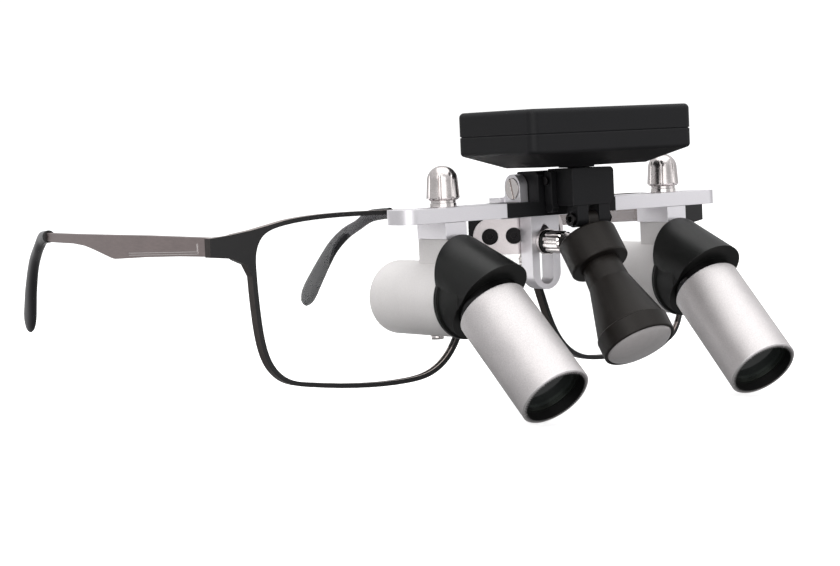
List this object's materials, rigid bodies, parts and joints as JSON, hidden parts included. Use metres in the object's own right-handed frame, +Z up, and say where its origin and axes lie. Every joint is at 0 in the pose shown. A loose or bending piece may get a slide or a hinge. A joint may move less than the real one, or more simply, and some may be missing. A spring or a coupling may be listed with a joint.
{
  "type": "dental loupes",
  "caption": "Spectacle-mounted flip-up dental loupes with angled prism telescopes on a sliding bar, a tilting headlight and a battery pod.",
  "frame": {"origin": "midway between the two nose pads, where the nose carries the spectacles", "axes": "+Z up, the wearer looks along -Y, the wearer's left is +X"},
  "size_m": [0.1444, 0.2343, 0.0653],
  "materials": {
    "frame_black": "matte black paint on steel",
    "lens_clear": "clear polycarbonate",
    "temple_metal": "gunmetal satin",
    "tip_black": "dark grey acetate",
    "pad_silicone": "clear silicone",
    "steel": "polished steel",
    "bracket_silver": "satin silver",
    "black_screw": "black oxide",
    "anodised_silver": "bead blasted and anodised",
    "black_anodised": "semi-gloss black anodised",
    "black_plastic": "fine textured black",
    "oring": "black nitrile",
    "optic": "coated optical glass",
    "lamp_optic": "moulded collimator",
    "retainer_grey": "grey-green anodised",
    "pcb": "solder mask",
    "cell": "pouch cell foil"
  },
  "bodies": {
    "spectacles": {"frame_front": "frame_black", "lens_right": "lens_clear", "lens_left": "lens_clear", "hinge_screws": "steel", "nose_pad_arms": "steel", "bridge_plate": "bracket_silver", "bridge_saddle": "black_plastic", "bridge_screws": "black_screw"},
    "nose_pad_right_body": {"nose_pad_right": "pad_silicone"},
    "nose_pad_left_body": {"nose_pad_left": "pad_silicone"},
    "temple_right_body": {"temple_right": "temple_metal", "temple_tip_right": "tip_black"},
    "temple_left_body": {"temple_left": "temple_metal", "temple_tip_left": "tip_black"},
    "height_screw": {"height_knob": "steel", "height_knob_washer": "steel", "height_knob_oring": "oring"},
    "carrier": {"slot_plate": "anodised_silver", "pivot_screws": "steel"},
    "flip_bar": {"hinge_block": "black_plastic", "arm_right": "anodised_silver", "arm_left": "anodised_silver", "lamp_holder": "black_plastic", "latch_pin": "black_screw", "lamp_tilt_screw": "black_screw"},
    "latch_body": {"latch": "black_plastic"},
    "lamp": {"lamp_heatsink": "black_anodised", "lamp_body": "black_anodised", "lamp_bezel": "black_anodised", "lamp_lens": "lamp_optic", "lamp_led": "pcb"},
    "pod": {"pod_post": "black_plastic", "pod_lower": "black_plastic", "pod_upper": "black_plastic", "charge_port": "steel", "battery_cell": "cell", "driver_board": "pcb"},
    "pod_button": {"power_button": "black_plastic"},
    "slider_right": {"clamp_block_right": "anodised_silver"},
    "ipd_knob_right": {"top_knob_right": "steel", "knob_washer_right": "steel"},
    "telescope_right": {"eyepiece_tube_right": "anodised_silver", "eyepiece_lens_right": "optic", "prism_housing_right": "black_anodised", "prism_right": "optic", "barrel_neck_right": "black_anodised", "objective_barrel_right": "anodised_silver", "objective_lens_right": "optic", "lens_retainer_right": "retainer_grey"},
    "slider_left": {"clamp_block_left": "anodised_silver"},
    "ipd_knob_left": {"top_knob_left": "steel", "knob_washer_left": "steel"},
    "telescope_left": {"eyepiece_tube_left": "anodised_silver", "eyepiece_lens_left": "optic", "prism_housing_left": "black_anodised", "prism_left": "optic", "barrel_neck_left": "black_anodised", "objective_barrel_left": "anodised_silver", "objective_lens_left": "optic", "lens_retainer_left": "retainer_grey"}
  },
  "joints": [
    {"name": "temple_right_fold", "type": "hinge", "parent": "spectacles", "child": "temple_right_body", "pos_m": [-0.0682, 0.003, 0.009], "axis": [0, 0, -1], "range_deg": [0, 75]},
    {"name": "temple_left_fold", "type": "hinge", "parent": "spectacles", "child": "temple_left_body", "pos_m": [0.0682, 0.003, 0.009], "axis": [0, 0, 1], "range_deg": [0, 83]},
    {"name": "nose_pad_right_rock", "type": "hinge", "parent": "spectacles", "child": "nose_pad_right_body", "pos_m": [-0.0112, 0.0003, 0], "axis": [0, 0, 1], "range_deg": [-8, 8]},
    {"name": "nose_pad_left_rock", "type": "hinge", "parent": "spectacles", "child": "nose_pad_left_body", "pos_m": [0.0112, 0.0003, 0], "axis": [0, 0, -1], "range_deg": [-8, 8]},
    {"name": "height_screw_turn", "type": "hinge", "parent": "spectacles", "child": "height_screw", "pos_m": [0, -0.028, 0.006], "axis": [0, 1, 0], "range_deg": [0, 360]},
    {"name": "height_slide", "type": "slide", "parent": "spectacles", "child": "carrier", "axis": [0, 0, 1], "range_m": [-0.001, 0.007]},
    {"name": "flip_up", "type": "hinge", "parent": "carrier", "child": "flip_bar", "pos_m": [0, -0.0288, 0.0186], "axis": [-1, 0, 0], "range_deg": [0, 60]},
    {"name": "latch_release", "type": "hinge", "parent": "flip_bar", "child": "latch_body", "pos_m": [-0.0067, -0.0366, 0.0201], "axis": [-1, 0, 0], "range_deg": [0, 10], "stiffness_Nm_per_rad": 0.002},
    {"name": "lamp_tilt", "type": "hinge", "parent": "flip_bar", "child": "lamp", "pos_m": [0, -0.0418, 0.0114], "axis": [-1, 0, 0], "range_deg": [-4, 30]},
    {"name": "pod_swivel", "type": "hinge", "parent": "flip_bar", "child": "pod", "pos_m": [0, -0.0381, 0.023], "axis": [0, 0, 1], "range_deg": [-15, 15]},
    {"name": "power_press", "type": "slide", "parent": "pod", "child": "pod_button", "axis": [0, -1, 0], "range_m": [0, 0.0006], "stiffness_N_per_m": 300},
    {"name": "ipd_slide_right", "type": "slide", "parent": "flip_bar", "child": "slider_right", "axis": [-1, 0, 0], "range_m": [-0.0045, 0.0045]},
    {"name": "ipd_knob_turn_right", "type": "hinge", "parent": "slider_right", "child": "ipd_knob_right", "pos_m": [-0.0315, -0.03075, 0.019], "axis": [0, 0, 1], "range_deg": [0, 360]},
    {"name": "convergence_right", "type": "hinge", "parent": "slider_right", "child": "telescope_right", "pos_m": [-0.0315, -0.03075, 0.009], "axis": [0, 0, 1], "range_deg": [-5, 5]},
    {"name": "ipd_slide_left", "type": "slide", "parent": "flip_bar", "child": "slider_left", "axis": [1, 0, 0], "range_m": [-0.0045, 0.0045]},
    {"name": "ipd_knob_turn_left", "type": "hinge", "parent": "slider_left", "child": "ipd_knob_left", "pos_m": [0.0315, -0.03075, 0.019], "axis": [0, 0, 1], "range_deg": [0, 360]},
    {"name": "convergence_left", "type": "hinge", "parent": "slider_left", "child": "telescope_left", "pos_m": [0.0315, -0.03075, 0.009], "axis": [0, 0, -1], "range_deg": [-5, 5]}
  ]
}
